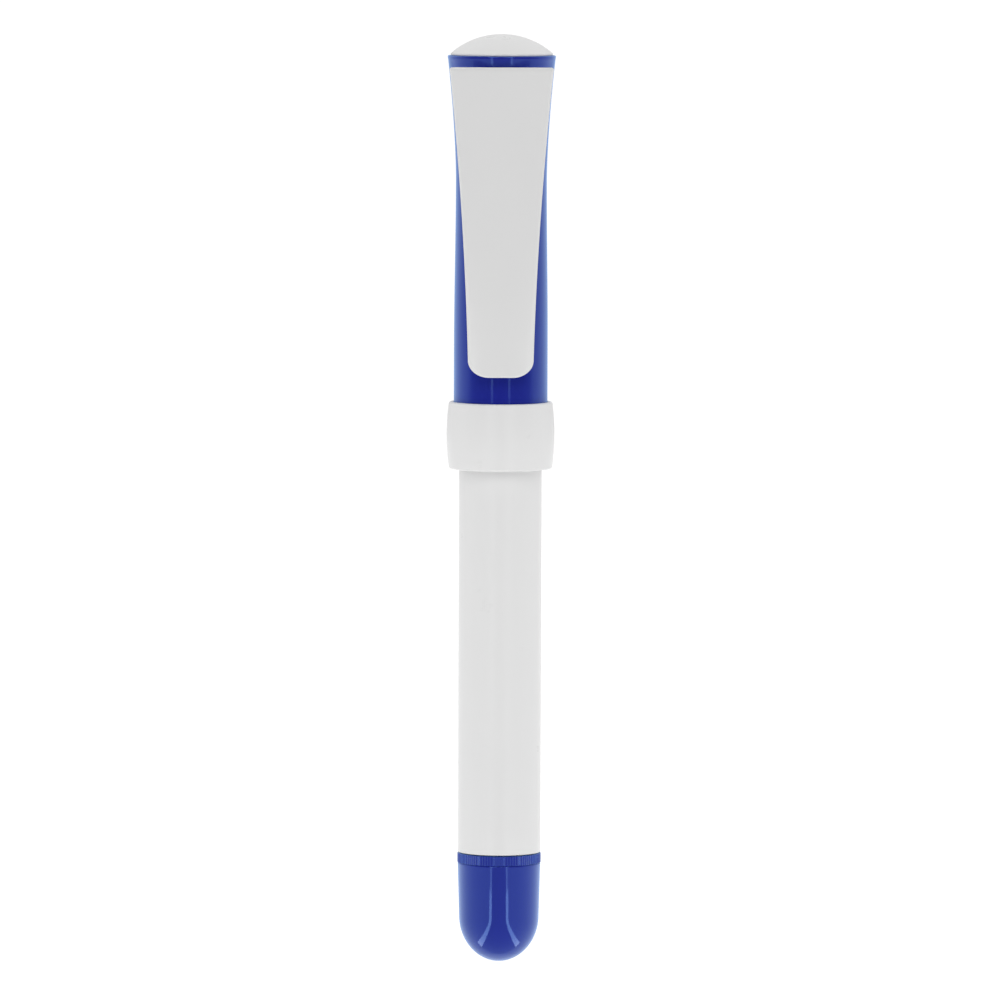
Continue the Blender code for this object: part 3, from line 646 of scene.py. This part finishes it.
def make_cap_shell():
    """The shell with its deck, the well for the dome, the stem's hole and the clip's slot."""
    rim = CAP_TOP - CAP_RIM_ROUND
    waist = CAP_BOTTOM + CAP_WAIST_HEIGHT
    straight = CAP_BOTTOM + CAP_STRAIGHT
    profile = [
        *arc((CAP_RIM_RADIUS - CAP_RIM_ROUND, rim), CAP_RIM_ROUND, 90, 0, 6),
        *[(cap_radius(z), z) for z in spread(rim, waist, 40)[1:]],
        *[(cap_radius(z), z) for z in spread(waist, straight, 14)[1:]],
        (CAP_MOUTH_RADIUS, CAP_BOTTOM),
        (CAP_BORE + BORE_CHAMFER, CAP_BOTTOM),
        (CAP_BORE, CAP_BOTTOM + BORE_CHAMFER),
        (CAP_BORE, DECK_BOTTOM),
        (STEM_HOLE, DECK_BOTTOM),
        (STEM_HOLE, DECK_TOP),
        *[(cap_radius(z) - CAP_HEAD_WALL, z) for z in spread(DECK_TOP, CAP_TOP, 8)],
    ]
    shell = loose("cap_body", lathe(profile))
    half = TAB_HALF_WIDTH + SLOT_SIDE_GAP
    outside = 2 * CLIP_BACK
    outline = [(-half, outside), (half, outside), (half, -STEM_HOLE), (-half, -STEM_HOLE)]
    combined(shell, loose("slot", prism(outline, "z", SLOT_BOTTOM, SLOT_TOP)), "DIFFERENCE")
    dress(shell, BLUE, "cap", "cap_shell")


def make_cap_dome():
    """A domed button on a spigot that drops into the cap's well, with a barbed hollow stem."""
    base = CAP_TOP + DOME_SEAT
    top = dome_high[2]
    centre = top - DOME_CURVE
    edge = math.sqrt(DOME_CURVE ** 2 - (CAP_TOP + DOME_RISE + DOME_LAND - centre) ** 2)
    turn = math.degrees(math.acos(edge / DOME_CURVE))
    spigot_bottom = base - DOME_SPIGOT_DEPTH
    spigot = cap_radius(spigot_bottom) - CAP_HEAD_WALL - SLIDE_GAP
    bore = spigot - DOME_SPIGOT_WALL
    skin = DOME_CURVE - DOME_SKIN
    ceiling = [(r, centre + math.sqrt(skin ** 2 - r ** 2)) for r in spread(bore, STEM_RADIUS, 6)]
    barb = DECK_BOTTOM - BARB_GAP
    profile = [
        (0.0, top),
        *arc((0.0, centre), DOME_CURVE, 90, turn, 30)[1:],
        (edge, base + DOME_EDGE_CHAMFER),
        (edge - DOME_EDGE_CHAMFER, base),
        (spigot, base),
        (spigot, spigot_bottom),
        (bore, spigot_bottom),
        *ceiling,
        (STEM_RADIUS, barb),
        (STEM_RADIUS + STEM_BARB, barb),
        (STEM_RADIUS - STEM_BARB, dome_low[2]),
        (STEM_BORE, dome_low[2]),
        (STEM_BORE, top - DOME_CROWN_WALL),
        (0.0, top - DOME_CROWN_WALL),
    ]
    finished("dome_button", lathe(profile), WHITE, "cap", "cap_dome")


make_mouth_ring()
make_cap_shell()
make_cap_dome()


# Pocket clip

def clip_rows():
    """The plate's right edge as (half width, height) with its outward directions, bottom to top."""
    low, high = clip_low[2], clip_high[2]
    corner_top = low + CLIP_CORNER_HEIGHT
    rows = []
    for turn in spread(-math.pi / 2, 0.0, 22):
        across = CLIP_TIP_HALF_WIDTH - CLIP_CORNER_WIDTH * (1 - math.cos(turn))
        rows.append((across, low + CLIP_CORNER_HEIGHT * (1 + math.sin(turn))))
    top_half = clip_high[0]
    rows += [(face_half(z), z) for z in spread(corner_top, high - CLIP_TOP_CORNER, 56)[1:-1]]
    rows += arc((top_half - CLIP_TOP_CORNER, high - CLIP_TOP_CORNER), CLIP_TOP_CORNER, 0, 90, 8)
    out = []
    last = len(rows) - 1
    for i, (across, z) in enumerate(rows):
        if i == 0:
            out.append((across, z, 0.0, -1.0))
            continue
        if i == last:
            out.append((across, z, 0.0, 1.0))
            continue
        run = rows[i + 1][0] - rows[i - 1][0]
        rise = rows[i + 1][1] - rows[i - 1][1]
        size = math.hypot(run, rise)
        out.append((across, z, rise / size, -run / size))
    return out


def crown(x, z, half):
    """How far the plate's face falls back: towards its side edges and its tip, at the round end."""
    up = max(0.0, z - clip_low[2])
    share = min(1.0, up / CLIP_CROWN_LENGTH)
    fade = 1 - share * share * (3 - 2 * share)
    tip = max(0.0, 1 - up / CLIP_TIP_LENGTH)
    return CLIP_CROWN * fade * (x / half) ** 2 + CLIP_TIP_FALL * tip ** 2


def face_half(z):
    """Half the plate's width where its round corners would be square."""
    corner_top = clip_low[2] + CLIP_CORNER_HEIGHT
    share = max(0.0, (z - corner_top) / (clip_high[2] - corner_top))
    widening = CLIP_EVEN_TAPER * share + (1 - CLIP_EVEN_TAPER) * share ** 2
    return CLIP_TIP_HALF_WIDTH + (clip_high[0] - CLIP_TIP_HALF_WIDTH) * widening


def make_plate():
    """The clip's plate: ring after ring of its rounded edge, then a grid over its back and its face."""
    rows = clip_rows()
    last = len(rows) - 1
    shape = bmesh.new()
    levels = []
    for turn in spread(math.pi / 2, 0.0, 3):
        levels.append((CLIP_BACK_ROUND * (1 - math.cos(turn)),
                       CLIP_BACK - CLIP_BACK_ROUND * (1 - math.sin(turn)), False))
    for turn in spread(0.0, math.pi / 2, 6):
        levels.append((CLIP_EDGE_ROUND * (1 - math.cos(turn)),
                       CLIP_FRONT + CLIP_EDGE_ROUND * (1 - math.sin(turn)), True))
    order = [(0, j) for j in range(CLIP_COLUMNS + 1)]
    order += [(i, CLIP_COLUMNS) for i in range(1, last + 1)]
    order += [(last, j) for j in range(CLIP_COLUMNS - 1, -1, -1)]
    order += [(i, 0) for i in range(last - 1, 0, -1)]

    def point(i, j, inset, depth, crowned):
        across, z, out_x, out_z = rows[i]
        half = across - inset * out_x
        height = z - inset * out_z
        x = half * (2 * j / CLIP_COLUMNS - 1)
        fall = crown(x, height, face_half(z)) if crowned else 0.0
        return shape.verts.new((x, depth + fall, height))

    rings = []
    for inset, depth, crowned in levels:
        rings.append({key: point(*key, inset, depth, crowned) for key in order})
    for a, b in zip(rings, rings[1:]):
        for k, key in enumerate(order):
            after = order[(k + 1) % len(order)]
            shape.faces.new((a[key], a[after], b[after], b[key]))
    for ring, (inset, depth, crowned) in ((rings[0], levels[0]), (rings[-1], levels[-1])):
        full = dict(ring)
        for i in range(1, last):
            for j in range(1, CLIP_COLUMNS):
                full[(i, j)] = point(i, j, inset, depth, crowned)
        for i in range(last):
            for j in range(CLIP_COLUMNS):
                shape.faces.new((full[(i, j)], full[(i, j + 1)], full[(i + 1, j + 1)], full[(i + 1, j)]))
    return shape


def make_clip():
    """The plate with the tab that enters the cap's slot and the round pad behind its lower end."""
    clip = loose("clip_plate", make_plate())
    middle = CLIP_BACK - CLIP_THICKNESS / 2
    tab = [(-TAB_HALF_WIDTH, middle), (TAB_HALF_WIDTH, middle),
           (TAB_HALF_WIDTH, -TAB_REACH), (-TAB_HALF_WIDTH, -TAB_REACH)]
    combined(clip, loose("tab", prism(tab, "z", TAB_BOTTOM, TAB_TOP)), "UNION")
    pad = []
    for turn in spread(-math.pi / 2, math.pi / 2, 18):
        pad.append((middle + (-PAD_FACE - middle) * math.cos(turn),
                    PAD_HEIGHT + PAD_HALF_HEIGHT * math.sin(turn)))
    combined(clip, loose("pad", prism(pad, "x", -PAD_HALF_LENGTH, PAD_HALF_LENGTH)), "UNION")
    dress(clip, CLIP_WHITE, "clip", "pocket_clip")


make_clip()


# Pieces of the frame that keep their own shape

for node, material in (
    ("inner_cap", NATURAL),
    ("ink_reservoir", CORE),
    ("reservoir_wrap", FILM),
    ("breather_tube", NATURAL),
):
    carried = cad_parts[node]
    for place in carried.material_slots:
        place.material = material


# Studio

MIDDLE = (0.0, 0.0, 0.0698)

KEY_AZIMUTH = 18.0
KEY_ELEVATION = 38.0
KEY_DISTANCE = 1.2
KEY_WIDTH = 0.45
KEY_HEIGHT = 0.8
KEY_POWER = 3.4

# Cards, which reflections alone can see. The edges of those on the floor are plan curves, each an
# angle from straight ahead and the half width that it has at the pen.
CARD_HEIGHT = 0.05 * MM
CARD_NEAR = 3.4 * MM
CARD_BREAK = 65 * MM
CARD_FAR = 1.14
STRIP_FAR = 0.9
CARD_STEPS = 24
MIDDLE_EDGE = (0.0, 0.0)
GAP_EDGE = (19.0, 4.0 * MM)
NEAR_EDGE = (25.0, 6.0 * MM)
FAR_EDGE = (23.2, 0.0)
TALL_LOW = 0.02
TALL_HIGH = 1.3
UNDER_RADIUS = 3.3 * MM
UNDER_GLOW = 1.25
GAP_GLOW = 0.6
NEAR_GLOW = 5.0
FAR_GLOW = 3.0
TALL_GLOW = 3.0

# The world's strength in a direction: the front one where its Y is below DARK_UNTIL, the back one where
# it is above BRIGHT_FROM, and a smooth fall between them.
DARK_UNTIL = -0.35
BRIGHT_FROM = 0.05
FRONT_STRENGTH = 0.10
BACK_STRENGTH = 1.2
GLOSSY_SHARE = 0.56
SEEN_STRENGTH = 1.05

FLOOR_RADIUS = 1.15
FLOOR_DROP = 0.5 * MM
FLOOR_GLOW = 0.9


def aim(thing, target):
    """Turns a light or camera so that its -Z looks at the target."""
    thing.rotation_euler = (Vector(target) - thing.location).to_track_quat("-Z", "Y").to_euler()


def bearing(azimuth, elevation, distance, centre):
    """A place at an azimuth from the front, positive to the right, and an elevation, in degrees."""
    turn, rise = math.radians(azimuth), math.radians(elevation)
    return Vector(centre) + distance * Vector((
        math.sin(turn) * math.cos(rise), -math.cos(turn) * math.cos(rise), math.sin(rise),
    ))


def make_key(side):
    """A softbox in front of the pen, above it and to one side."""
    data = bpy.data.lights.new(f"key_{side}", "AREA")
    data.shape = "RECTANGLE"
    data.size = KEY_WIDTH
    data.size_y = KEY_HEIGHT
    data.energy = KEY_POWER
    light = bpy.data.objects.new(f"key_{side}", data)
    bpy.context.scene.collection.objects.link(light)
    light.location = bearing(KEY_AZIMUTH * side, KEY_ELEVATION, KEY_DISTANCE, MIDDLE)
    aim(light, MIDDLE)
    light.visible_camera = False


def card(name, corners, brightness):
    """A flat card of a given brightness that only reflections see."""
    mesh = bpy.data.meshes.new(name)
    mesh.from_pydata(corners, [], [tuple(range(len(corners)))])
    made = bpy.data.objects.new(name, mesh)
    bpy.context.scene.collection.objects.link(made)
    look = bpy.data.materials.new(name)
    look.use_nodes = True
    shader = look.node_tree.nodes["Principled BSDF"]
    shader.inputs["Base Color"].default_value = (0.0, 0.0, 0.0, 1.0)
    shader.inputs["Specular IOR Level"].default_value = 0.0
    shader.inputs["Emission Color"].default_value = (1.0, 1.0, 1.0, 1.0)
    shader.inputs["Emission Strength"].default_value = brightness
    mesh.materials.append(look)
    made.visible_camera = made.visible_diffuse = made.visible_shadow = False
    made.visible_transmission = False


def floor_card(name, side, inner, outer, near, far, brightness):
    """A card just over the floor, between two plan curves, from near the pen to far in front of it."""
    steps = [far * share ** 3 for share in spread(0.0, 1.0, CARD_STEPS)]
    steps = [near] + [depth for depth in steps if depth > near]

    def across(depth, curve):
        angle, least = curve
        return side * math.hypot(depth * math.tan(math.radians(angle)), least)

    corners = [(across(depth, inner), -depth, CARD_HEIGHT) for depth in steps]
    corners += [(across(depth, outer), -depth, CARD_HEIGHT) for depth in reversed(steps)]
    card(name, corners, brightness)


def make_cards():
    """A bright disc under the nose, and on each side a grey card with a bright strip along its edge."""
    disc = [Vector((x, y, CARD_HEIGHT)) for x, y in arc((0.0, 0.0), UNDER_RADIUS, 0, 345, 23)]
    card("under_card", disc, UNDER_GLOW)
    for side in (-1, 1):
        floor_card(f"gap_card_{side}", side, MIDDLE_EDGE, GAP_EDGE, CARD_NEAR, CARD_FAR, GAP_GLOW)
        floor_card(f"near_strip_{side}", side, GAP_EDGE, NEAR_EDGE, CARD_NEAR, CARD_BREAK, NEAR_GLOW)
        floor_card(f"far_strip_{side}", side, GAP_EDGE, FAR_EDGE, CARD_BREAK, STRIP_FAR, FAR_GLOW)
        near, far = GAP_EDGE[0] * side, FAR_EDGE[0] * side
        foot = [bearing(turn, 0.0, CARD_FAR, (0, 0, TALL_LOW)) for turn in (near, far)]
        head = [bearing(turn, 0.0, CARD_FAR, (0, 0, TALL_HIGH)) for turn in (far, near)]
        card(f"tall_strip_{side}", foot + head, TALL_GLOW)


def make_world():
    """White to the camera. For light it is dark in front and bright behind, and dimmer in reflections."""
    world = bpy.data.worlds.new("studio")
    bpy.context.scene.world = world
    world.use_nodes = True
    nodes = world.node_tree.nodes
    links = world.node_tree.links
    way = nodes.new("ShaderNodeTexCoord")
    parts = nodes.new("ShaderNodeSeparateXYZ")
    links.new(way.outputs["Generated"], parts.inputs["Vector"])
    fall = nodes.new("ShaderNodeMapRange")
    fall.interpolation_type = "SMOOTHSTEP"
    fall.inputs["From Min"].default_value = DARK_UNTIL
    fall.inputs["From Max"].default_value = BRIGHT_FROM
    fall.inputs["To Min"].default_value = FRONT_STRENGTH
    fall.inputs["To Max"].default_value = BACK_STRENGTH
    links.new(parts.outputs["Y"], fall.inputs["Value"])
    seen = nodes.new("ShaderNodeLightPath")
    dimmed = nodes.new("ShaderNodeMapRange")
    dimmed.inputs["To Min"].default_value = 1.0
    dimmed.inputs["To Max"].default_value = GLOSSY_SHARE
    links.new(seen.outputs["Is Glossy Ray"], dimmed.inputs["Value"])
    product = nodes.new("ShaderNodeMath")
    product.operation = "MULTIPLY"
    links.new(fall.outputs["Result"], product.inputs[0])
    links.new(dimmed.outputs["Result"], product.inputs[1])
    pick = nodes.new("ShaderNodeMix")
    pick.data_type = "FLOAT"
    pick.inputs["B"].default_value = SEEN_STRENGTH
    links.new(seen.outputs["Is Camera Ray"], pick.inputs["Factor"])
    links.new(product.outputs["Value"], pick.inputs["A"])
    background = nodes["Background"]
    background.inputs["Color"].default_value = (1.0, 1.0, 1.0, 1.0)
    links.new(pick.outputs["Result"], background.inputs["Strength"])


def make_floor():
    """A pale round floor that glows a little, so that no shadow shows on it."""
    shape = bmesh.new()
    bmesh.ops.create_circle(shape, cap_ends=True, radius=FLOOR_RADIUS, segments=96)
    floor = loose("floor", shape)
    pale = Nodes("pale_floor", 0.9, 1.3)
    shades = [(0.3, (0.24, 0.24, 0.24)), (0.7, (0.26, 0.26, 0.26))]
    pale.set("Base Color", pale.ramp(pale.noise((6, 6, 6)), shades))
    pale.shader.inputs["Emission Color"].default_value = (1.0, 1.0, 1.0, 1.0)
    pale.shader.inputs["Emission Strength"].default_value = FLOOR_GLOW
    floor.data.materials.append(pale.material)
    floor.location.z = -FLOOR_DROP


for side in (-1, 1):
    make_key(side)
make_cards()
make_world()
make_floor()


# Camera

LENS = 338.0
SENSOR = 36.0
DISTANCE = 1.415
ELEVATION = 4.25
ROLL = 0.205
SIDE_STEP = -0.04 * MM


def make_camera():
    """A long lens far in front, a little above the pen and looking down on it."""
    lens = bpy.data.cameras.new("camera")
    lens.lens = LENS
    lens.sensor_width = SENSOR
    camera = bpy.data.objects.new("camera", lens)
    bpy.context.scene.collection.objects.link(camera)
    centre = Vector(MIDDLE) + Vector((SIDE_STEP, 0.0, 0.0))
    camera.location = bearing(0.0, ELEVATION, DISTANCE, centre)
    aim(camera, centre)
    roll = Matrix.Rotation(math.radians(ROLL), 3, "Z")
    camera.rotation_euler = (camera.rotation_euler.to_matrix() @ roll).to_euler()
    return camera


bpy.context.scene.camera = make_camera()
bpy.context.scene.view_settings.view_transform = "Standard"
